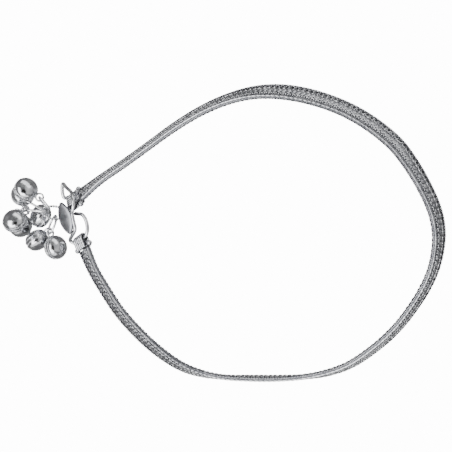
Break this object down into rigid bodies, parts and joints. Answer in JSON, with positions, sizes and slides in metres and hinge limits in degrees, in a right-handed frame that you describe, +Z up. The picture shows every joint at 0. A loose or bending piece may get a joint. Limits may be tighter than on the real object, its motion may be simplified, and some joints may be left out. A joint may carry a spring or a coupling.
{
  "type": "payal anklet",
  "caption": "Silver payal anklet: a flat woven chain strap lying as an open loop, closed by a leaf hook clasp with a bunch of small round bells.",
  "frame": {"origin": "middle of the object's overall width and depth, on the surface that it lies on", "axes": "+Z up from the surface; +X away from the bells, along the loop's longer way; +Y across the loop, towards the side where the strap meets the upper end of the leaf"},
  "size_m": [0.119, 0.0738, 0.0135],
  "materials": {
    "woven_silver": "woven fine silver wire, slightly darkened between the links",
    "darkened_silver": "ribbed silver, darkened in the grooves",
    "hook_silver": "smooth polished silver",
    "polished_silver": "bright polished silver"
  },
  "bodies": {
    "root": {"woven_band": "woven_silver", "end_strap_upper": "darkened_silver", "end_strap_lower": "darkened_silver", "cross_pin_upper": "darkened_silver", "cross_pin_lower": "darkened_silver", "leaf_hook": "hook_silver", "twisted_ring": "polished_silver", "upper_ring": "polished_silver", "lower_ring": "polished_silver", "long_ring": "polished_silver", "bell_1": "polished_silver", "bell_2": "polished_silver", "bell_3": "polished_silver", "bell_4": "polished_silver", "bell_5": "polished_silver", "bell_6": "polished_silver", "bell_7": "polished_silver"}
  },
  "joints": []
}
